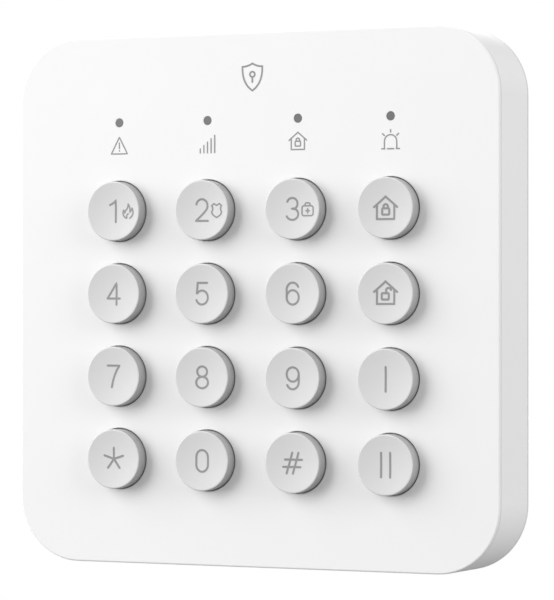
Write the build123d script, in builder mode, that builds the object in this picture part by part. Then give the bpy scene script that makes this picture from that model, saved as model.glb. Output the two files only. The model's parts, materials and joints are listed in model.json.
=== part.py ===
"""Wall-mounted wireless alarm keypad: a square panel with sixteen round keys and four status lights.

Row frame, millimetres: the origin is the centre of the wall face, +Z is up, +X is to the right as a
user sees the panel, and the panel faces -Y. A "height" is a distance from the wall towards the user.
"""

import os

from build123d import *

os.makedirs("parts", exist_ok=True)

# ---- driving dimensions -------------------------------------------------------------------------
FACE = 120.7  # the front housing is square
CORNER_R = 15.0
WALL = 2.0  # side walls of the front housing
EDGE_R = 0.4  # fillet round the front face
RIM_R = 0.3  # fillet round the rear rim
GROOVE = 0.3  # width and depth of the two shadow grooves round the side walls

# heights from the wall
PLATE_FLOOR = 1.5
PLATE_TOP = 3.3
SHELL_BACK = 3.4  # rear rim of the front housing and outer face of the rear housing
REAR_FLOOR = 4.9
BOARD_BACK = 13.8
BOARD_FRONT = 15.0
MAT_TOP = 15.7
DOME_TOP = 17.1
SKIN_BACK = 18.1
FACE_TOP = 20.0
KEY_TOP = 23.0

# keys and status lights
KEY_R = 6.8
KEY_GAP = 0.2
KEY_BOTTOM = DOME_TOP + 0.05
FLANGE_R = 7.9
FLANGE_TOP = SKIN_BACK - 0.05
KEY_PITCH_X = 22.8
KEY_PITCH_Z = 18.9
KEYS_Z = -8.1  # centre of the key grid
LIGHTS_Z = 40.6
LENS_R = 1.0
KEY_NAMES = (
    ("1", "2", "3", "arm"),
    ("4", "5", "6", "disarm"),
    ("7", "8", "9", "function_1"),
    ("star", "0", "hash", "function_2"),
)

# fastenings
CASE_SCREW_XZ = 44.0
BOARD_SCREW_X = 49.0
BOARD_SCREW_Z = (12.0, -24.0)
WALL_SCREW_X = 60.0  # spacings of the four wall holes
WALL_SCREW_Z = 76.0
WALL_SCREW_R = 2.2

# wall plate, its two hooks and its locking tab
PLATE_W = 106.0
PLATE_H = 102.0
PLATE_R = 12.0
PLATE_RIM = 1.8
HOOK_X = 28.0
HOOK_W = 10.0
HOOK_ARM_TOP = 50.6
TAB_W = 9.0
TAB_BOTTOM = -54.0
TAB_TOP = -51.5
LOCK_HEIGHT = 7.0  # height of the lock screw's axis

# battery bay and its four AAA cells
CELL_R = 5.25
CELL_BODY = 43.3
CELL_NUB = 1.2
CELL_PITCH = 10.7
CELL_HEIGHT = 6.95
BAY_W = 52.0
BAY_H = 43.4
BAY_Z = -10.0
BAY_WALL = 1.2
BAY_FLOOR = 12.3
CONTACT_T = 0.4

# switches on the back of the board
TAMPER_X, TAMPER_Z = 38.0, 30.0
POWER_X, POWER_Z = -42.0, -5.0
POWER_TRAVEL = 2.0


# ---- helpers ------------------------------------------------------------------------------------
def level(height, x=0.0, z=0.0):
    """A plane parallel to the wall at a height, seen from the front: its x is +X and its y is +Z."""
    return Plane(origin=(x, -height, z), x_dir=(1, 0, 0), z_dir=(0, -1, 0))


def key_grid():
    """The sixteen key places, relative to a plane centred on the panel."""
    return [
        (KEY_PITCH_X * (column - 1.5), KEYS_Z - KEY_PITCH_Z * (row - 1.5))
        for row in range(4)
        for column in range(4)
    ]


def light_places():
    return [(KEY_PITCH_X * (column - 1.5), LIGHTS_Z) for column in range(4)]


def board_screw_places():
    return [(x, z) for x in (-BOARD_SCREW_X, BOARD_SCREW_X) for z in BOARD_SCREW_Z]


def save(piece, label):
    """Labels a finished piece and writes it as its own STEP file."""
    piece.label = label
    export_step(piece, f"parts/{label}.step")


def board_block(x, z, width, height, thickness):
    """A block-shaped component on the back of the board."""
    with BuildPart() as block:
        with BuildSketch(level(BOARD_BACK - thickness, x, z)):
            RectangleRounded(width, height, 0.3)
        extrude(amount=thickness)
    return block


def coil(start, direction, radius, wire, pitch, length):
    """A wire coil wound about an axis that begins at a point."""
    with BuildPart() as spring:
        with BuildLine() as path:
            Helix(pitch, length, radius, center=start, direction=direction)
        with BuildSketch(Plane(origin=path.line @ 0, z_dir=path.line % 0)):
            Circle(wire)
        sweep(path=path.line, is_frenet=True)
    return spring


# ---- front housing: face, side walls, screw bosses and board posts ------------------------------
with BuildPart() as front_housing:
    with BuildSketch(level(SHELL_BACK)):
        RectangleRounded(FACE, FACE, CORNER_R)
    extrude(amount=FACE_TOP - SHELL_BACK)
    fillet(front_housing.faces().sort_by(Axis.Y)[0].edges(), EDGE_R)
    fillet(front_housing.faces().sort_by(Axis.Y)[-1].edges(), RIM_R)
    with BuildSketch(level(SHELL_BACK)):
        RectangleRounded(FACE - 2 * WALL, FACE - 2 * WALL, CORNER_R - WALL)
    extrude(amount=SKIN_BACK - SHELL_BACK, mode=Mode.SUBTRACT)
    for groove_height in (SHELL_BACK + 0.6, FACE_TOP - EDGE_R - GROOVE - 0.05):
        with BuildSketch(level(groove_height)):
            RectangleRounded(FACE + 2, FACE + 2, CORNER_R + 1)
            RectangleRounded(FACE - 2 * GROOVE, FACE - 2 * GROOVE, CORNER_R - GROOVE, mode=Mode.SUBTRACT)
        extrude(amount=GROOVE, mode=Mode.SUBTRACT)
    with BuildSketch(level(SKIN_BACK)):
        with Locations(*key_grid()):
            Circle(KEY_R + KEY_GAP)
        with Locations(*light_places()):
            Circle(LENS_R + 0.05)
    extrude(amount=FACE_TOP - SKIN_BACK, mode=Mode.SUBTRACT)
    key_rims = (
        front_housing.edges()
        .filter_by(GeomType.CIRCLE)
        .filter_by(lambda edge: abs(edge.radius - KEY_R - KEY_GAP) < 0.01)
        .filter_by_position(Axis.Y, -FACE_TOP - 0.01, -FACE_TOP + 0.01)
    )
    chamfer(key_rims, 0.15)
    with BuildSketch(level(REAR_FLOOR)):
        with GridLocations(2 * CASE_SCREW_XZ, 2 * CASE_SCREW_XZ, 2, 2):
            Circle(2.75)
    extrude(amount=SKIN_BACK - REAR_FLOOR)
    with BuildSketch(level(REAR_FLOOR)):
        with GridLocations(2 * CASE_SCREW_XZ, 2 * CASE_SCREW_XZ, 2, 2):
            Circle(1.15)
    extrude(amount=8.0, mode=Mode.SUBTRACT)
    with BuildSketch(level(BOARD_FRONT)):
        with Locations(*board_screw_places()):
            Circle(2.2)
    extrude(amount=SKIN_BACK - BOARD_FRONT)
    with BuildSketch(level(BOARD_FRONT)):
        with Locations(*board_screw_places()):
            Circle(0.85)
    extrude(amount=2.6, mode=Mode.SUBTRACT)
    with BuildSketch(Plane.XY.offset(-FACE / 2)):
        with Locations((0, -LOCK_HEIGHT)):
            Circle(2.5)
    extrude(amount=WALL, mode=Mode.SUBTRACT)
save(front_housing.part, "front_housing")

# ---- rear housing: floor, rim, battery bay and lock screw guide ---------------------------------
REAR_W = FACE - 2 * WALL - 0.4
REAR_R = CORNER_R - WALL - 0.2
REAR_RIM = 1.6
with BuildPart() as rear_housing:
    with BuildSketch(level(SHELL_BACK)):
        RectangleRounded(REAR_W, REAR_W, REAR_R)
    extrude(amount=REAR_FLOOR - SHELL_BACK)
    with BuildSketch(level(REAR_FLOOR)):
        RectangleRounded(REAR_W, REAR_W, REAR_R)
        RectangleRounded(REAR_W - 2 * REAR_RIM, REAR_W - 2 * REAR_RIM, REAR_R - REAR_RIM, mode=Mode.SUBTRACT)
    extrude(amount=BOARD_BACK - 0.05 - REAR_FLOOR)
    with BuildSketch(level(REAR_FLOOR, z=BAY_Z)):
        Rectangle(BAY_W + 2 * BAY_WALL, BAY_H + 2 * BAY_WALL)
    extrude(amount=BAY_FLOOR + 0.8 - REAR_FLOOR)
    with BuildSketch(level(SHELL_BACK, z=BAY_Z)):
        Rectangle(BAY_W, BAY_H)
    extrude(amount=BAY_FLOOR - SHELL_BACK, mode=Mode.SUBTRACT)
    with BuildSketch(level(REAR_FLOOR)):
        with Locations((0, -REAR_W / 2 + 1.4)):
            Rectangle(TAB_W, 2.8)
    extrude(amount=LOCK_HEIGHT + 4 - REAR_FLOOR)
    with BuildSketch(Plane.XY.offset(-FACE / 2)):
        with Locations((0, -LOCK_HEIGHT)):
            Circle(2.5)
    extrude(amount=5.2, mode=Mode.SUBTRACT)
    with BuildSketch(level(SHELL_BACK)):
        with GridLocations(2 * CASE_SCREW_XZ, 2 * CASE_SCREW_XZ, 2, 2):
            Circle(1.3)
        with Locations((-HOOK_X, 48.25), (HOOK_X, 48.25)):
            Rectangle(HOOK_W + 1, 5.5)
        with Locations((0, (TAB_BOTTOM + TAB_TOP) / 2)):
            Rectangle(TAB_W + 1.4, TAB_TOP - TAB_BOTTOM + 1.5)
        with Locations((TAMPER_X, TAMPER_Z)):
            Circle(2.0)
        with Locations((POWER_X, POWER_Z)):
            SlotOverall(POWER_TRAVEL + 5, 3.2, rotation=90)
    extrude(amount=REAR_FLOOR - SHELL_BACK, mode=Mode.SUBTRACT)
save(rear_housing.part, "rear_housing")

# ---- wall plate: floor, rim, screw pads, hooks and locking tab ----------------------------------
with BuildPart() as wall_plate:
    with BuildSketch(level(0)):
        RectangleRounded(PLATE_W, PLATE_H, PLATE_R)
    extrude(amount=PLATE_FLOOR)
    with BuildSketch(level(PLATE_FLOOR)):
        RectangleRounded(PLATE_W, PLATE_H, PLATE_R)
        RectangleRounded(PLATE_W - 2 * PLATE_RIM, PLATE_H - 2 * PLATE_RIM, PLATE_R - PLATE_RIM, mode=Mode.SUBTRACT)
    extrude(amount=PLATE_TOP - PLATE_FLOOR)
    with BuildSketch(level(PLATE_FLOOR)):
        with GridLocations(WALL_SCREW_X, WALL_SCREW_Z, 2, 2):
            Circle(5.5)
    extrude(amount=1.1)
    with Locations(level(PLATE_FLOOR + 1.1)):
        with GridLocations(WALL_SCREW_X, WALL_SCREW_Z, 2, 2):
            CounterSinkHole(radius=WALL_SCREW_R, counter_sink_radius=3.8, counter_sink_angle=90)
    with BuildSketch(level(0)):
        with Locations((0, (TAB_BOTTOM + PLATE_RIM - PLATE_H / 2) / 2)):
            Rectangle(TAB_W, PLATE_RIM - PLATE_H / 2 - TAB_BOTTOM)
    extrude(amount=PLATE_TOP)
    with BuildSketch(level(0)):
        with Locations((0, (TAB_BOTTOM + TAB_TOP) / 2)):
            Rectangle(TAB_W, TAB_TOP - TAB_BOTTOM)
    extrude(amount=9.8)
    with BuildSketch(Plane.XY.offset(TAB_BOTTOM)):
        with Locations((0, -LOCK_HEIGHT)):
            Circle(1.35)
    extrude(amount=TAB_TOP - TAB_BOTTOM, mode=Mode.SUBTRACT)
    with BuildSketch(level(PLATE_FLOOR)):
        with Locations((-HOOK_X, HOOK_ARM_TOP - 1), (HOOK_X, HOOK_ARM_TOP - 1)):
            Rectangle(HOOK_W, 2)
    extrude(amount=7.0 - PLATE_FLOOR)
    with BuildSketch(level(5.6)):
        with Locations((-HOOK_X, HOOK_ARM_TOP + 1.3), (HOOK_X, HOOK_ARM_TOP + 1.3)):
            Rectangle(HOOK_W, 3)
    extrude(amount=1.4)
    with BuildSketch(level(0)):
        with Locations((TAMPER_X, TAMPER_Z)):
            Circle(2.6)
    extrude(amount=PLATE_FLOOR, mode=Mode.SUBTRACT)
save(wall_plate.part, "wall_plate")

# ---- dome mat: one silicone sheet with sixteen domes --------------------------------------------
DOME_TAPER = 30.0
DOME_CAVITY = 1.5
with BuildPart() as dome_mat:
    with BuildSketch(level(BOARD_FRONT, z=KEYS_Z)):
        RectangleRounded(3 * KEY_PITCH_X + 12.6, 3 * KEY_PITCH_Z + 13.0, 3)
    extrude(amount=MAT_TOP - BOARD_FRONT)
    with BuildSketch(level(MAT_TOP)):
        with Locations(*key_grid()):
            Circle(4.0)
    extrude(amount=DOME_TOP - MAT_TOP, taper=DOME_TAPER)
    with BuildSketch(level(BOARD_FRONT)):
        with Locations(*key_grid()):
            Circle(3.7)
    extrude(amount=DOME_CAVITY, taper=DOME_TAPER, mode=Mode.SUBTRACT)
save(dome_mat.part, "dome_mat")

# ---- circuit board and what is soldered to it ---------------------------------------------------
with BuildPart() as circuit_board:
    with BuildSketch(level(BOARD_BACK)):
        RectangleRounded(113.4, 113.4, 12.5)
        with GridLocations(2 * CASE_SCREW_XZ, 2 * CASE_SCREW_XZ, 2, 2):
            Circle(3.1, mode=Mode.SUBTRACT)
        with Locations(*board_screw_places()):
            Circle(1.1, mode=Mode.SUBTRACT)
    extrude(amount=BOARD_FRONT - BOARD_BACK)
save(circuit_board.part, "circuit_board")

with BuildPart() as key_contact_pads:
    with BuildSketch(level(BOARD_FRONT)):
        with Locations(*key_grid()):
            Circle(2.2)
    extrude(amount=0.1)
save(key_contact_pads.part, "key_contact_pads")

with BuildPart() as status_leds:
    with BuildSketch(level(BOARD_FRONT)):
        with Locations(*light_places()):
            Rectangle(1.6, 1.6)
    extrude(amount=0.8)
save(status_leds.part, "status_leds")

with BuildPart() as light_pipes:
    with BuildSketch(level(BOARD_FRONT + 0.9)):
        with Locations(*light_places()):
            Circle(LENS_R)
    extrude(amount=FACE_TOP - 0.05 - BOARD_FRONT - 0.9)
    with BuildSketch(level(SKIN_BACK - 0.8)):
        with Locations(*light_places()):
            Circle(1.9)
    extrude(amount=0.8)
save(light_pipes.part, "light_pipes")

save(board_block(-10, 32, 7, 7, 0.9).part, "processor_chip")
save(board_block(16, 31, 18, 14, 2.6).part, "radio_module")
save(board_block(-1, 25, 5, 2, 1.2).part, "clock_crystal")

with BuildPart() as capacitors:
    with BuildSketch(level(BOARD_BACK - 7)):
        with Locations((-21, -42), (-12, -42)):
            Circle(3.15)
    extrude(amount=7)
save(capacitors.part, "capacitors")

with BuildPart() as buzzer:
    with BuildSketch(level(BOARD_BACK - 4.5, -38, 32)):
        Circle(6.5)
    extrude(amount=4.5)
    with BuildSketch(level(BOARD_BACK - 4.5, -38, 32)):
        Circle(1.2)
    extrude(amount=2, mode=Mode.SUBTRACT)
save(buzzer.part, "buzzer")

ANTENNA_R = 2.4
antenna_start = (-14, -(BOARD_BACK - ANTENNA_R - 0.5), 51)
save(coil(antenna_start, (1, 0, 0), ANTENNA_R, 0.35, 2.6, 18.2).part, "antenna")

# ---- tamper switch, its plunger and spring ------------------------------------------------------
SWITCH_H = 3.4
PLUNGER_FOOT = 0.1
PLUNGER_TOP = 8.4
PLUNGER_FLANGE = REAR_FLOOR + 0.05
PLUNGER_FLANGE_T = 0.8
with BuildPart() as tamper_switch:
    with BuildSketch(level(BOARD_BACK - SWITCH_H, TAMPER_X, TAMPER_Z)):
        Rectangle(6, 6)
    extrude(amount=SWITCH_H)
    with BuildSketch(level(BOARD_BACK - SWITCH_H - 0.8, TAMPER_X, TAMPER_Z)):
        Circle(1.4)
    extrude(amount=0.8)
save(tamper_switch.part, "tamper_switch")

with BuildPart() as tamper_plunger:
    with BuildSketch(level(PLUNGER_FOOT, TAMPER_X, TAMPER_Z)):
        Circle(1.5)
    extrude(amount=PLUNGER_TOP - PLUNGER_FOOT)
    with BuildSketch(level(PLUNGER_FLANGE, TAMPER_X, TAMPER_Z)):
        Circle(2.6)
    extrude(amount=PLUNGER_FLANGE_T)
save(tamper_plunger.part, "tamper_plunger")

SPRING_WIRE = 0.2
spring_back = PLUNGER_FLANGE + PLUNGER_FLANGE_T + SPRING_WIRE + 0.05
spring_length = BOARD_BACK - SWITCH_H - SPRING_WIRE - 0.05 - spring_back
tamper_coil = coil((TAMPER_X, -spring_back, TAMPER_Z), (0, -1, 0), 2.1, SPRING_WIRE, spring_length / 4, spring_length)
save(tamper_coil.part, "tamper_spring")

# ---- power switch and its slider ----------------------------------------------------------------
with BuildPart() as power_switch:
    with BuildSketch(level(BOARD_BACK - SWITCH_H, POWER_X, POWER_Z)):
        Rectangle(3.8, 8.6)
    extrude(amount=SWITCH_H)
    with BuildSketch(level(BOARD_BACK - SWITCH_H, POWER_X, POWER_Z)):
        Rectangle(2.2, POWER_TRAVEL + 2.4)
    extrude(amount=1.2, mode=Mode.SUBTRACT)
save(power_switch.part, "power_switch")

with BuildPart() as power_switch_slider:
    with BuildSketch(level(REAR_FLOOR - 1.1, POWER_X, POWER_Z - POWER_TRAVEL / 2)):
        Rectangle(1.8, 1.8)
    extrude(amount=BOARD_BACK - SWITCH_H + 1.1 - REAR_FLOOR + 1.1)
save(power_switch_slider.part, "power_switch_slider")

# ---- battery cells and their contacts -----------------------------------------------------------
CELL_START = BAY_W / 2 - CONTACT_T - 0.1  # distance of a nub's tip from the bay's middle
SPRING_LENGTH = 2 * CELL_START - CELL_BODY - CELL_NUB
cell_places = [(1 - 2 * (i % 2), BAY_Z + CELL_PITCH * (1.5 - i)) for i in range(4)]


def across(x, z):
    """A plane facing +X on a cell's axis."""
    return Plane(origin=(x, -CELL_HEIGHT, z), x_dir=(0, 0, 1), z_dir=(1, 0, 0))


with BuildPart() as battery_cells:
    for side, z in cell_places:  # side 1 has its nub to the right
        nub_root = side * (CELL_START - CELL_NUB)
        with BuildSketch(across(nub_root, z)):
            Circle(CELL_R)
        extrude(amount=-side * CELL_BODY)
        with BuildSketch(across(nub_root, z)):
            Circle(1.9)
        extrude(amount=side * CELL_NUB)
save(battery_cells.part, "battery_cells")

with BuildPart() as battery_springs:
    for side, z in cell_places:
        start = (-side * (CELL_START - 0.25), -CELL_HEIGHT, z)
        add(coil(start, (side, 0, 0), 2.8, 0.3, 1.3, SPRING_LENGTH - 0.7).part)
save(battery_springs.part, "battery_springs")

with BuildPart() as battery_contacts:
    # right-hand strips join cells 1-2 and 3-4; the left-hand strip joins 2-3 and leaves two poles
    strips = [(1, 0.5, 2), (1, 2.5, 2), (-1, 0, 1), (-1, 1.5, 2), (-1, 3, 1)]
    for side, index, count in strips:
        z = BAY_Z + CELL_PITCH * (1.5 - index)
        with BuildSketch(level(3.7, side * (BAY_W - CONTACT_T) / 2, z)):
            Rectangle(CONTACT_T, CELL_PITCH * count - 2.4)
        extrude(amount=8.4)
save(battery_contacts.part, "battery_contacts")


# ---- screws -------------------------------------------------------------------------------------
def screws(places, head_back, head_r, head_t, shank_r, shank_length):
    """Cross-head screws driven from the wall side: heads first, then shanks towards the front."""
    with BuildPart() as group:
        with BuildSketch(level(head_back)):
            with Locations(*places):
                Circle(head_r)
        extrude(amount=head_t)
        with BuildSketch(level(head_back + head_t)):
            with Locations(*places):
                Circle(shank_r)
        extrude(amount=shank_length)
        with BuildSketch(level(head_back)):
            with Locations(*places):
                Rectangle(1.2 * head_r, 0.25 * head_r)
                Rectangle(0.25 * head_r, 1.2 * head_r)
        extrude(amount=0.6 * head_t, mode=Mode.SUBTRACT)
    return group


case_places = [(x, z) for x in (-CASE_SCREW_XZ, CASE_SCREW_XZ) for z in (-CASE_SCREW_XZ, CASE_SCREW_XZ)]
save(screws(case_places, 1.9, 2.3, 1.5, 1.1, 9.0).part, "case_screws")
save(screws(board_screw_places(), BOARD_BACK - 1.1, 1.8, 1.1, 0.8, 3.4).part, "board_screws")

LOCK_HEAD = 1.8
with BuildPart() as lock_screw:
    with BuildSketch(Plane.XY.offset(-FACE / 2 + 0.2)):
        with Locations((0, -LOCK_HEIGHT)):
            Circle(2.25)
    extrude(amount=LOCK_HEAD)
    with BuildSketch(Plane.XY.offset(-FACE / 2 + 0.2 + LOCK_HEAD)):
        with Locations((0, -LOCK_HEIGHT)):
            Circle(1.25)
    extrude(amount=3.4)
    with BuildSketch(Plane.XY.offset(-FACE / 2 + 0.2)):
        with Locations((0, -LOCK_HEIGHT)):
            Rectangle(2.8, 0.6)
            Rectangle(0.6, 2.8)
    extrude(amount=1.1, mode=Mode.SUBTRACT)
save(lock_screw.part, "lock_screw")

# ---- key caps and the contact pills under them --------------------------------------------------
DISH_DEPTH = 0.4
DISH_EDGE_R = 6.45  # the shallow dish stops short of the cap's rounded edge
DISH_SPHERE = (DISH_EDGE_R**2 + DISH_DEPTH**2) / (2 * DISH_DEPTH)
CAP_EDGE = 0.25
CAP_ROOF = 1.9
PILL_T = 0.3
for name, (key_x, key_z) in zip(sum(KEY_NAMES, ()), key_grid()):
    with BuildPart() as key_cap:
        with BuildSketch(level(KEY_BOTTOM, key_x, key_z)):
            Circle(KEY_R)
        extrude(amount=KEY_TOP - KEY_BOTTOM)
        fillet(key_cap.edges().sort_by(Axis.Y)[0], CAP_EDGE)
        with BuildSketch(level(KEY_BOTTOM, key_x, key_z)):
            Circle(FLANGE_R)
        extrude(amount=FLANGE_TOP - KEY_BOTTOM)
        with BuildSketch(level(KEY_BOTTOM, key_x, key_z)):
            Circle(KEY_R - 1.2)
            Circle(2.6, mode=Mode.SUBTRACT)
        extrude(amount=KEY_TOP - CAP_ROOF - KEY_BOTTOM, mode=Mode.SUBTRACT)
        with Locations((key_x, -(KEY_TOP + DISH_SPHERE - DISH_DEPTH), key_z)):
            Sphere(DISH_SPHERE, mode=Mode.SUBTRACT)
    save(key_cap.part, f"key_{name}")

    with BuildPart() as contact_pill:
        with BuildSketch(level(BOARD_FRONT + DOME_CAVITY - PILL_T, key_x, key_z)):
            Circle(1.6)
        extrude(amount=PILL_T)
    save(contact_pill.part, f"contact_pill_{name}")
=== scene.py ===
"""Looks for the alarm keypad: camera, studio, materials, soft parts cut out of their CAD nodes, and the
printed legends.

Lengths in the printed legends are millimetres, and every other length is metres.
"""

import json
import math

import bmesh
import bpy
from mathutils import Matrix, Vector
from mathutils.bvhtree import BVHTree

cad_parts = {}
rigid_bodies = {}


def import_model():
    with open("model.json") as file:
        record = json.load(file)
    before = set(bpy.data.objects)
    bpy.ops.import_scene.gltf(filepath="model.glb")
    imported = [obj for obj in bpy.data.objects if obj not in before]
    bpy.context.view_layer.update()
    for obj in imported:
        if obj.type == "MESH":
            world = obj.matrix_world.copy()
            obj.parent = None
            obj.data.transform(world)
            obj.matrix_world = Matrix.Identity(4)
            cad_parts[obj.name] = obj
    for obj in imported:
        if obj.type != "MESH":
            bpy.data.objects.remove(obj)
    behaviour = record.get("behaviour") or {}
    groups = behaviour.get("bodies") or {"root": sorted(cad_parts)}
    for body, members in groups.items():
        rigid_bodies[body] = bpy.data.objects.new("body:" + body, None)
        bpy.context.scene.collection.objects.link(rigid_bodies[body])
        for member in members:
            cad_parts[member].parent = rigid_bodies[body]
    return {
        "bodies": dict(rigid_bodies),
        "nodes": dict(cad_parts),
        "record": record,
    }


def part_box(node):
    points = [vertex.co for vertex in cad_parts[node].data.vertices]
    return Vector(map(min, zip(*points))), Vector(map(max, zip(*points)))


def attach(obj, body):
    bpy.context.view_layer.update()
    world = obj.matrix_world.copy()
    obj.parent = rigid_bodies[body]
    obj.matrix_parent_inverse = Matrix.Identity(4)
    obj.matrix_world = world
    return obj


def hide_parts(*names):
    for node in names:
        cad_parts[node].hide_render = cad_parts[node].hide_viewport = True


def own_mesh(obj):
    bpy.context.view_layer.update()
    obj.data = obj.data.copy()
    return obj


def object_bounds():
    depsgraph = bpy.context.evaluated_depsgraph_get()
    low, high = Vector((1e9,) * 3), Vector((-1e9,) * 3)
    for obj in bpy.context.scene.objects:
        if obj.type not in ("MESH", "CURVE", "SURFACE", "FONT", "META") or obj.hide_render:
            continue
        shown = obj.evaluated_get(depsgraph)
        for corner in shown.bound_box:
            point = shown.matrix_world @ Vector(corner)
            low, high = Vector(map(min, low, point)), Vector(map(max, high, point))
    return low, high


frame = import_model()
cad_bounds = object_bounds()
MM = 0.001
FULL_TURN = 360
KEYS = [body.removeprefix("key_") for body in frame["bodies"] if body.startswith("key_")]
node_slots = {part["node"]: part["material_slot"] for part in frame["record"]["subparts"]}


def box_of(node):
    low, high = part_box(node)
    return Vector(low), Vector(high)


def middle_of(node):
    low, high = box_of(node)
    return (low + high) / 2


def place(name, data):
    """A new object with this data, linked to the scene."""
    piece = bpy.data.objects.new(name, data)
    bpy.context.collection.objects.link(piece)
    return piece


# ---- camera ---------------------------------------------------------------------------------------
AZIMUTH = math.radians(26.39)
camera_data = bpy.data.cameras.new("camera")
camera_data.lens = 209.76
camera_data.sensor_width = 36.0
camera = place("camera", camera_data)
camera.location = (0.35496, -0.7229, -0.00008)
camera.rotation_euler = (math.pi / 2, 0, AZIMUTH)
bpy.context.scene.camera = camera


# ---- studio ---------------------------------------------------------------------------------------
def area_light(name, location, size, power):
    """A square lamp that faces the middle of the wall plate's rear face, which is the origin."""
    data = bpy.data.lights.new(name, "AREA")
    data.shape = "SQUARE"
    data.size = size
    data.energy = power
    lamp = place(name, data)
    lamp.location = location
    lamp.rotation_euler = (-Vector(location)).to_track_quat("-Z", "Y").to_euler()


area_light("key_light", (-1.7, -1.1, 0.9), size=2.2, power=65.5)
area_light("side_light", (1.3, -0.25, 0.5), size=1.0, power=10.8)
area_light("back_light", (-0.85, 1.55, 0.15), size=1.3, power=20.0)

# the backdrop is plain white to the eye, and gives the object a softer, dimmer light
BACKDROP_LIGHT = 0.43
BACKDROP_SEEN = 1.0
world = bpy.data.worlds.new("studio")
world.use_nodes = True
world_nodes, world_links = world.node_tree.nodes, world.node_tree.links
background = world_nodes["Background"]
background.inputs["Color"].default_value = (1, 1, 1, 1)
path = world_nodes.new("ShaderNodeLightPath")
level = world_nodes.new("ShaderNodeMapRange")
level.inputs["To Min"].default_value = BACKDROP_LIGHT
level.inputs["To Max"].default_value = BACKDROP_SEEN
world_links.new(path.outputs["Is Camera Ray"], level.inputs["Value"])
world_links.new(level.outputs["Result"], background.inputs["Strength"])
bpy.context.scene.world = world
bpy.context.scene.view_settings.view_transform = "Standard"


# ---- materials ------------------------------------------------------------------------------------
CLOUD_SCALE = 55.0  # slow drift between a material's two colours
GRAIN_DEPTH = 0.05 * MM


def surface(name, low, high, roughness, grain, bump=0.2, metallic=0.0, spread=0.06, **more):
    """A solid material: two close colours mixed by noise, uneven roughness and a fine surface grain."""
    material = bpy.data.materials.new(name)
    material.use_nodes = True
    nodes, links = material.node_tree.nodes, material.node_tree.links
    shader = nodes["Principled BSDF"]
    where = nodes.new("ShaderNodeTexCoord")
    cloud = nodes.new("ShaderNodeTexNoise")
    cloud.inputs["Scale"].default_value = CLOUD_SCALE
    cloud.inputs["Detail"].default_value = 4.0
    links.new(where.outputs["Object"], cloud.inputs["Vector"])
    mix = nodes.new("ShaderNodeMix")
    mix.data_type = "RGBA"
    mix.inputs[6].default_value = (*low, 1)
    mix.inputs[7].default_value = (*high, 1)
    links.new(cloud.outputs["Fac"], mix.inputs[0])
    links.new(mix.outputs[2], shader.inputs["Base Color"])
    fine = nodes.new("ShaderNodeTexNoise")
    fine.inputs["Scale"].default_value = grain
    fine.inputs["Detail"].default_value = 3.0
    links.new(where.outputs["Object"], fine.inputs["Vector"])
    rough = nodes.new("ShaderNodeMapRange")
    rough.inputs["To Min"].default_value = roughness - spread
    rough.inputs["To Max"].default_value = roughness + spread
    links.new(fine.outputs["Fac"], rough.inputs["Value"])
    links.new(rough.outputs["Result"], shader.inputs["Roughness"])
    relief = nodes.new("ShaderNodeBump")
    relief.inputs["Strength"].default_value = bump
    relief.inputs["Distance"].default_value = GRAIN_DEPTH
    links.new(fine.outputs["Fac"], relief.inputs["Height"])
    links.new(relief.outputs["Normal"], shader.inputs["Normal"])
    shader.inputs["Metallic"].default_value = metallic
    for key, value in more.items():
        shader.inputs[key.replace("_", " ")].default_value = value
    return material


def grey(value, warm=0.0):
    return (value, value * (1 - 0.4 * warm), value * (1 - warm))


MATERIALS = {
    "shell_plastic": surface("shell_plastic", grey(0.885), grey(0.905), 0.46, 5200, 0.10),
    "rear_plastic": surface("rear_plastic", grey(0.80), grey(0.84), 0.52, 4200, 0.18),
    "plate_plastic": surface("plate_plastic", grey(0.79), grey(0.83), 0.55, 3600, 0.22),
    "key_plastic": surface("key_plastic", grey(0.675), grey(0.70), 0.40, 4800, 0.08),
    "lens_plastic": surface("lens_plastic", grey(0.16), grey(0.19), 0.25, 2500, 0.05),
    "plunger_plastic": surface("plunger_plastic", grey(0.02), grey(0.03), 0.45, 3500, 0.15),
    "slider_plastic": surface("slider_plastic", grey(0.02), grey(0.03), 0.42, 3500, 0.15),
    "silicone": surface("silicone", grey(0.50), grey(0.58), 0.55, 3000, 0.12, Subsurface_Weight=0.2),
    "pill_rubber": surface("pill_rubber", grey(0.012), grey(0.02), 0.75, 4000, 0.25),
    "board_laminate": surface("board_laminate", (0.008, 0.075, 0.03), (0.012, 0.10, 0.04), 0.3, 1800, 0.1),
    "pad_gold": surface("pad_gold", (0.72, 0.52, 0.20), (0.82, 0.62, 0.28), 0.28, 2600, 0.08, 1.0),
    "led_package": surface("led_package", (0.80, 0.77, 0.60), (0.86, 0.84, 0.70), 0.3, 2500, 0.05),
    "chip_epoxy": surface("chip_epoxy", grey(0.015), grey(0.028), 0.5, 4500, 0.25),
    "capacitor_sleeve": surface("capacitor_sleeve", (0.012, 0.016, 0.05), (0.02, 0.025, 0.07),
                                0.28, 2200, 0.06),
    "can_steel": surface("can_steel", grey(0.58), grey(0.66), 0.30, 1500, 0.12, 1.0, 0.10),
    "contact_steel": surface("contact_steel", grey(0.66, 0.03), grey(0.74, 0.03),
                             0.26, 1800, 0.10, 1.0, 0.08),
    "spring_steel": surface("spring_steel", grey(0.54), grey(0.64), 0.24, 2600, 0.10, 1.0, 0.08),
    "screw_steel": surface("screw_steel", grey(0.56, 0.02), grey(0.66, 0.04), 0.33, 2000, 0.15, 1.0, 0.10),
    "cell_jacket": surface("cell_jacket", grey(0.03), grey(0.04), 0.27, 1600, 0.05, 0.35),
}


# painted shade: where a key's surface turns from its top to its sides, its colour turns to a darker painted
# shade
STILL_TOP, FULL_SIDE = -0.8, -0.55  # Y of the surface normal, which is -1 on a key's top
SIDE_SHADE_START = 0.1 * MM  # how far behind its front a key's painted shade starts to deepen toward its base


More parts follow.
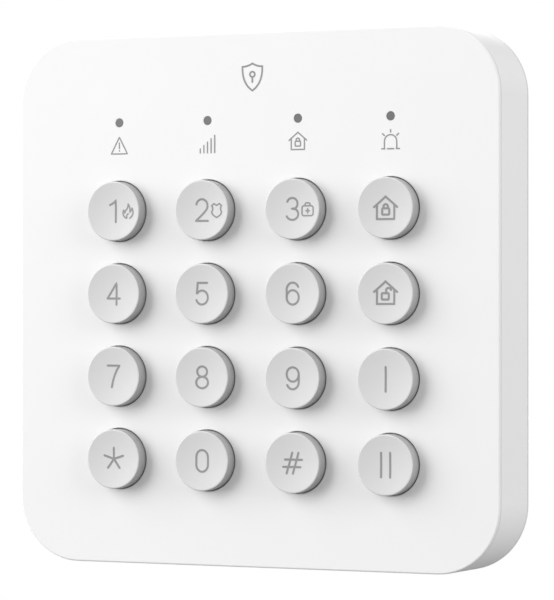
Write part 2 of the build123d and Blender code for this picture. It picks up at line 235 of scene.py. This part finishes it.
def paint_key_side_shade(material, low, high):
    """Paints shade on the keys: their sides are painted darker than their tops, and darkest where they
    leave the front, where shade falls.
    """
    nodes, links = material.node_tree.nodes, material.node_tree.links
    shader = nodes["Principled BSDF"]
    top_colour = shader.inputs["Base Color"].links[0].from_socket
    where = nodes.new("ShaderNodeTexCoord")
    facing = nodes.new("ShaderNodeSeparateXYZ")
    links.new(where.outputs["Normal"], facing.inputs["Vector"])
    turn = nodes.new("ShaderNodeMapRange")
    turn.interpolation_type = "SMOOTHSTEP"
    turn.inputs["From Min"].default_value = STILL_TOP
    turn.inputs["From Max"].default_value = FULL_SIDE
    links.new(facing.outputs["Y"], turn.inputs["Value"])
    depth = nodes.new("ShaderNodeSeparateXYZ")
    links.new(where.outputs["Object"], depth.inputs["Vector"])
    # painted shade that deepens from just behind a key's front to where it meets the housing's front
    base_shade = nodes.new("ShaderNodeMapRange")
    base_shade.inputs["From Min"].default_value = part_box("key_5")[0][1] + SIDE_SHADE_START
    base_shade.inputs["From Max"].default_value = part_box("front_housing")[0][1]
    links.new(depth.outputs["Y"], base_shade.inputs["Value"])
    side_shade = nodes.new("ShaderNodeMix")
    side_shade.data_type = "RGBA"
    side_shade.inputs[6].default_value = (*high, 1)
    side_shade.inputs[7].default_value = (*low, 1)
    links.new(base_shade.outputs["Result"], side_shade.inputs[0])
    mix = nodes.new("ShaderNodeMix")
    mix.data_type = "RGBA"
    links.new(turn.outputs["Result"], mix.inputs[0])
    links.new(top_colour, mix.inputs[6])
    links.new(side_shade.outputs[2], mix.inputs[7])
    links.new(mix.outputs[2], shader.inputs["Base Color"])


# painted shade on the keys' sides, darker toward their base
paint_key_side_shade(MATERIALS["key_plastic"], grey(0.39), grey(0.42))
INK = surface("legend_ink", grey(0.27), grey(0.30), 0.5, 6000, 0.10)

for node, piece in frame["nodes"].items():
    piece.data.materials.clear()
    piece.data.materials.append(MATERIALS[node_slots[node]])


# ---- soft pieces that a joint presses in use, cut out of their CAD nodes ----------------------------
INTO_WALL = (0, 1, 0)
DOME_ROOT = 0.72 * MM  # from the mat's rear face to just past the roots of its domes
DOME_REACH = 9 * MM  # wider than a dome and less than half way to the next key


def soft_part(node, name, wanted, cut_y=None):
    """A piece made of the wanted faces of a CAD node, which is first cut at cut_y if that is given."""
    mesh = bmesh.new()
    mesh.from_mesh(frame["nodes"][node].data)
    if cut_y is not None:
        everything = mesh.verts[:] + mesh.edges[:] + mesh.faces[:]
        bmesh.ops.bisect_plane(mesh, geom=everything, plane_co=(0, cut_y, 0), plane_no=INTO_WALL)
    unwanted = [face for face in mesh.faces if not wanted(face.calc_center_median())]
    bmesh.ops.delete(mesh, geom=unwanted, context="FACES")
    data = bpy.data.meshes.new(name)
    mesh.to_mesh(data)
    mesh.free()
    data.materials.clear()
    data.materials.append(MATERIALS[node_slots[node]])
    piece = place(name, data)
    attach(piece, "housing")
    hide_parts(node)
    return piece


def over_key(middle):
    """Tells whether a spot is on the dome behind the key that has this middle."""
    def test(spot):
        aside = max(abs(spot.x - middle.x), abs(spot.z - middle.z))
        return spot.y < dome_cut and aside < DOME_REACH
    return test


mat_low, mat_high = box_of("dome_mat")
dome_cut = mat_high.y - DOME_ROOT
soft_part("dome_mat", "dome_sheet", lambda spot: spot.y > dome_cut, dome_cut)
for key in KEYS:
    middle = middle_of(f"key_{key}")
    dome = soft_part("dome_mat", f"dome_{key}", over_key(middle), dome_cut)
    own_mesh(dome)

tamper_coil = soft_part("tamper_spring", "tamper_coil", lambda spot: True)
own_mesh(tamper_coil)


# ---- printed legends ------------------------------------------------------------------------------
KEY_STROKE = 0.50
SIDE_ICON_STROKE = 0.36
STATUS_STROKE = 0.31
EMBLEM_STROKE = 0.42
SIDE_ICON_OFFSET = (3.75, -0.1)  # from the middle of a key
COLUMN_PITCH = 22.8  # from one status light, or column of keys, to the next
STATUS_DROP = 5.4  # from a status light down to its icon
EMBLEM_PLACE = (0, 50.2)
STROKE_STEP = 0.35  # longest stretch between points along a stroke
MITRE_LIMIT = 1.3
CAP_SIDES = 6
INK_LIFT = 0.025  # the first stroke's height, and each later stroke is a little higher
LAYER_LIFT = 0.004
INK_SINK = 0.03  # how far a stroke's sides go below the surface


def arc(cx, cy, rx, ry, start, end, steps=18):
    """Points of an elliptical arc, angles in degrees, anticlockwise when end is larger."""
    turns = [math.radians(start + (end - start) * i / steps) for i in range(steps + 1)]
    return [(cx + rx * math.cos(turn), cy + ry * math.sin(turn)) for turn in turns]


def bezier(a, b, c, steps=12):
    """Points of a quadratic curve from a to c that leans towards b."""
    spots = []
    for i in range(steps + 1):
        t = i / steps
        spots.append(tuple((1 - t) ** 2 * a[k] + 2 * t * (1 - t) * b[k] + t * t * c[k] for k in (0, 1)))
    return spots


def ring(cx, cy, rx, ry):
    return arc(cx, cy, rx, ry, 90, 90 + FULL_TURN, 36)


def rounded_box(cx, cy, width, height, radius):
    """A closed box outline with rounded corners, ending where it began."""
    points = []
    for sx, sy, turn in ((1, 1, 0), (-1, 1, 90), (-1, -1, 180), (1, -1, 270)):
        x, y = cx + sx * (width / 2 - radius), cy + sy * (height / 2 - radius)
        points += arc(x, y, radius, radius, turn, turn + 90, 5)
    return points + points[:1]


def house(k, raised=0.0):
    """Roof and walls of a house pictogram at scale k."""
    roof = [(-2.8 * k, (0.15 + raised) * k), (0, (2.45 + raised) * k), (2.8 * k, (0.15 + raised) * k)]
    sill, eave = (-2.5 + raised) * k, (0.7 + raised) * k
    walls = [(-2.1 * k, eave), (-2.1 * k, sill), (2.1 * k, sill), (2.1 * k, eave)]
    return [roof, walls]


def padlock(k, raised=0.0, is_open=False):
    cx = -0.1 * k if is_open else 0.0
    body = rounded_box(cx, (-0.83 + raised) * k, 1.7 * k, 1.4 * k, 0.22 * k)
    top = (-0.12 + raised) * k
    if is_open:
        left, reach = 0.1 * k, 0.62 * k
        bow = [(left, top)] + arc(left + reach, top + 0.6 * k, reach, 0.55 * k, 180, 15, 12)
    else:
        bow = [(-0.52 * k, top)] + arc(0, top + 0.4 * k, 0.52 * k, 0.5 * k, 180, 0, 12) + [(0.52 * k, top)]
    return [body, bow]


SIX = arc(0, 0.85, 1.5, 1.6, 25, 180) + arc(0, -0.85, 1.5, 1.6, 180, 540, 36)
NINE = [(-x, -y) for x, y in SIX]
TWO = (arc(-0.05, 0.98, 1.42, 1.47, 168, -28)
       + bezier((1.15, 0.15), (0.5, -0.7), (-1.55, -2.45))
       + [(1.5, -2.45)])
FIVE = [(1.3, 2.45), (-1.1, 2.45), (-1.35, 0.1)] + arc(-0.05, -0.87, 1.5, 1.58, 143, -158, 28)
THREE = (arc(-0.1, 1.18, 1.3, 1.27, 160, -70, 20)
         + [(-0.3, 0.02)]
         + arc(-0.1, -1.17, 1.48, 1.28, 78, -158, 24))
STAR = [[(0, 0), (2.55 * math.cos(turn), 2.5 * math.sin(turn))]
        for turn in (math.radians(90 + 72 * i) for i in range(5))]
LEGENDS = {
    "1": [[(-1.0, 1.4), (0.1, 1.95), (0.52, 2.45), (0.52, -2.5)]],
    "2": [TWO],
    "3": [THREE],
    "4": [[(0.7, -2.5), (0.7, 2.4), (-1.65, -1.1), (1.6, -1.1)]],
    "5": [FIVE],
    "6": [SIX],
    "7": [[(-1.55, 2.45)] + bezier((1.5, 2.45), (-0.05, 0.6), (-0.5, -2.5))],
    "8": [ring(0, 1.28, 1.25, 1.17), ring(0, -1.17, 1.5, 1.3)],
    "9": [NINE],
    "0": [arc(0, 0.85, 1.48, 1.6, 0, 180) + arc(0, -0.85, 1.48, 1.6, 180, 360) + [(1.48, 0.85)]],
    "star": STAR,
    "hash": [[(-0.1, 2.3), (-1.5, -2.35)], [(1.45, 2.3), (0.05, -2.35)],
             [(-1.9, 0.75), (2.35, 0.75)], [(-2.35, -0.9), (1.9, -0.9)]],
    "function_1": [[(0, -2.7), (0, 2.7)]],
    "function_2": [[(-1.1, -2.7), (-1.1, 2.7)], [(1.1, -2.7), (1.1, 2.7)]],
    "arm": house(1) + padlock(1),
    "disarm": house(1, 0.2) + padlock(1, 0.2, True),
}
SIDE_ICONS = {  # small pictograms to the right of three digits
    "1": [
        bezier((-0.45, -1.55), (-1.75, -0.9), (-1.15, 0.35)) + [(-0.85, -0.35)],
        [(-0.85, -0.35)] + bezier((-0.75, 0.1), (0.1, 0.8), (0.05, 1.7)),
        bezier((0.05, 1.7), (0.75, 0.7), (0.5, -0.2)) + bezier((0.5, -0.2), (0.9, 0.1), (1.1, 0.75)),
        bezier((1.1, 0.75), (1.85, -0.7), (0.5, -1.55)),
        bezier((0.05, -0.55), (-0.55, -0.9), (-0.3, -1.45)),
    ],
    "2": [
        [(-1.3, 1.05), (-0.7, 1.5), (0, 1.1), (0.7, 1.5), (1.3, 1.05)],
        bezier((-1.3, 1.05), (-0.75, 0.45), (-1.3, -0.35)) + bezier((-1.3, -0.35), (-1.2, -1.1), (0, -1.6)),
        bezier((1.3, 1.05), (0.75, 0.45), (1.3, -0.35)) + bezier((1.3, -0.35), (1.2, -1.1), (0, -1.6)),
    ],
    "3": [
        rounded_box(0, -0.35, 2.85, 2.2, 0.5),
        [(-0.62, 0.85), (-0.62, 1.15), (-0.42, 1.4), (0.42, 1.4), (0.62, 1.15), (0.62, 0.85)],
        [(-0.42, -0.35), (0.42, -0.35)],
        [(0, -0.8), (0, 0.1)],
    ],
}
STATUS_ICONS = [
    [[(-2.1, -1.75), (0, 2.05), (2.1, -1.75), (-2.1, -1.75)],
     [(0, 0.75), (0, -0.5)], [(0, -1.0), (0, -1.08)]],
    [[(-1.84 + 0.92 * i, -1.9), (-1.84 + 0.92 * i, -1.0 + 0.75 * i)] for i in range(5)],
    house(0.78, 0.45) + padlock(0.78, 0.45),
    [
        [(-1.5, -1.85), (-1.5, -0.2)] + arc(0, -0.2, 1.5, 1.45, 180, 0, 18) + [(1.5, -1.85)],
        [(-2.15, -1.85), (-1.4, -1.85)], [(1.4, -1.85), (2.15, -1.85)], [(-0.75, -1.85), (0.75, -1.85)],
        [(0, 1.85), (0, 2.35)], [(-1.95, 1.5), (-1.5, 1.1)], [(1.95, 1.5), (1.5, 1.1)],
    ],
]
EMBLEM = [  # a plain shield outline with a keyhole in it
    [(0, 3.0)] + bezier((0, 3.0), (1.2, 2.3), (2.5, 2.3)) + bezier((2.5, 2.3), (2.6, -1.5), (0, -3.1))
    + bezier((0, -3.1), (-2.6, -1.5), (-2.5, 2.3)) + bezier((-2.5, 2.3), (-1.2, 2.3), (0, 3.0)),
    ring(0, 0.55, 0.6, 0.6),
    [(0, -0.05), (0, -1.2)],
]


def spaced(points, step):
    """The same line with points no further apart than step."""
    line = [points[0]]
    for start, end in zip(points, points[1:]):
        length = math.dist(start, end)
        pieces = max(1, math.ceil(length / step))
        if length > 1e-6:
            shift = (end[0] - start[0], end[1] - start[1])
            line += [(start[0] + shift[0] * i / pieces, start[1] + shift[1] * i / pieces)
                     for i in range(1, pieces + 1)]
    return line


def ribbon(mesh, points, width, height_at, lift, centre):
    """Adds one inked stroke: a flat band with mitred bends and round ends, lying on a surface."""
    closed = math.dist(points[0], points[-1]) < 1e-6
    line = spaced(points, STROKE_STEP)
    if closed:
        line = line[:-1]
    count = len(line)
    sides = []
    for i, (x, y) in enumerate(line):
        before = line[i - 1] if (i or closed) else None
        after = line[(i + 1) % count] if (i < count - 1 or closed) else None
        into = Vector((x - before[0], y - before[1])).normalized() if before else None
        out = Vector((after[0] - x, after[1] - y)).normalized() if after else None
        into, out = into or out, out or into
        along = (into + out).normalized()
        stretch = min(1 / max(along.dot(into), 0.3), MITRE_LIMIT)
        across = Vector((-along.y, along.x)) * (width / 2) * stretch
        sides.append(((x + across.x, y + across.y), (x - across.x, y - across.y)))

    def vertex(spot, drop):
        x, z = centre[0] + spot[0], centre[1] + spot[1]
        return mesh.verts.new((x * MM, height_at(x, z) * MM - (lift - drop) * MM, z * MM))

    tops = [(vertex(left, 0), vertex(right, 0)) for left, right in sides]
    feet = [(vertex(left, lift + INK_SINK), vertex(right, lift + INK_SINK)) for left, right in sides]
    for i in range(count if closed else count - 1):
        j = (i + 1) % count
        mesh.faces.new((tops[i][0], tops[i][1], tops[j][1], tops[j][0]))
        mesh.faces.new((tops[i][0], tops[j][0], feet[j][0], feet[i][0]))
        mesh.faces.new((tops[j][1], tops[i][1], feet[i][1], feet[j][1]))
    if closed:
        return
    for i, sign in ((0, 1), (count - 1, -1)):
        left, right = Vector(sides[i][0]), Vector(sides[i][1])
        middle, spoke = (left + right) / 2, (left - right) / 2
        ahead = Vector((-spoke.y, spoke.x)) * sign
        cap = [middle + spoke * math.cos(turn) + ahead * math.sin(turn)
               for turn in (math.pi * k / CAP_SIDES for k in range(1, CAP_SIDES))]
        rim = [tops[i][0]] + [vertex(spot, 0) for spot in cap] + [tops[i][1]]
        base = [feet[i][0]] + [vertex(spot, lift + INK_SINK) for spot in cap] + [feet[i][1]]
        mesh.faces.new(rim if sign > 0 else rim[::-1])
        for k in range(len(rim) - 1):
            mesh.faces.new((rim[k], base[k], base[k + 1], rim[k + 1]))


IN_FRONT = -0.05  # Y of a place in front of the whole keypad


def print_on(node, name, body, strokes, centre, width):
    """Prints strokes on the front of a CAD node and lets them ride on a body."""
    source = frame["nodes"][node].data
    corners = [vertex.co.copy() for vertex in source.vertices]
    tree = BVHTree.FromPolygons(corners, [tuple(polygon.vertices) for polygon in source.polygons])

    def height_at(x, z):
        hit = tree.ray_cast(Vector((x * MM, IN_FRONT, z * MM)), Vector(INTO_WALL))[0]
        return hit.y / MM

    mesh = bmesh.new()
    for index, points in enumerate(strokes):
        ribbon(mesh, points, width, height_at, INK_LIFT + LAYER_LIFT * index, centre)
    bmesh.ops.recalc_face_normals(mesh, faces=mesh.faces)
    data = bpy.data.meshes.new(name)
    mesh.to_mesh(data)
    mesh.free()
    data.materials.append(INK)
    piece = place(name, data)
    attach(piece, body)


for key, strokes in LEGENDS.items():
    middle = middle_of(f"key_{key}") / MM
    print_on(f"key_{key}", f"legend_{key}", f"key_{key}", strokes, (middle.x, middle.z), KEY_STROKE)
    if key in SIDE_ICONS:
        beside = (middle.x + SIDE_ICON_OFFSET[0], middle.z + SIDE_ICON_OFFSET[1])
        print_on(f"key_{key}", f"icon_{key}", f"key_{key}", SIDE_ICONS[key], beside, SIDE_ICON_STROKE)

lights_middle = middle_of("light_pipes") / MM
for index, strokes in enumerate(STATUS_ICONS):
    from_middle = index - (len(STATUS_ICONS) - 1) / 2
    spot = (lights_middle.x + from_middle * COLUMN_PITCH, lights_middle.z - STATUS_DROP)
    print_on("front_housing", f"status_icon_{index + 1}", "housing", strokes, spot, STATUS_STROKE)
print_on("front_housing", "emblem", "housing", EMBLEM, EMBLEM_PLACE, EMBLEM_STROKE)


# ---- floor ----------------------------------------------------------------------------------------
FLOOR_RADIUS = 2.2
FLOOR_DROP = 0.25  # below the object, which hangs on a wall
floor_mesh = bpy.data.meshes.new("floor")
floor_builder = bmesh.new()
bmesh.ops.create_circle(floor_builder, cap_ends=True, segments=96, radius=FLOOR_RADIUS)
floor_builder.to_mesh(floor_mesh)
floor_builder.free()
paper = surface("floor_paper", grey(0.93), grey(0.95), 0.9, 900, 0.05)  # pale to the eye
paper_nodes, paper_links = paper.node_tree.nodes, paper.node_tree.links
dim = paper_nodes.new("ShaderNodeBsdfDiffuse")  # and dim as a source of light from below
dim.inputs["Color"].default_value = (0.3, 0.3, 0.3, 1)
seen = paper_nodes.new("ShaderNodeLightPath")
both = paper_nodes.new("ShaderNodeMixShader")
paper_links.new(seen.outputs["Is Camera Ray"], both.inputs["Fac"])
paper_links.new(dim.outputs["BSDF"], both.inputs[1])
paper_links.new(paper_nodes["Principled BSDF"].outputs["BSDF"], both.inputs[2])
paper_links.new(both.outputs["Shader"], paper_nodes["Material Output"].inputs["Surface"])
floor_mesh.materials.append(paper)
floor = place("floor", floor_mesh)
floor.location.z = cad_bounds[0][2] - FLOOR_DROP
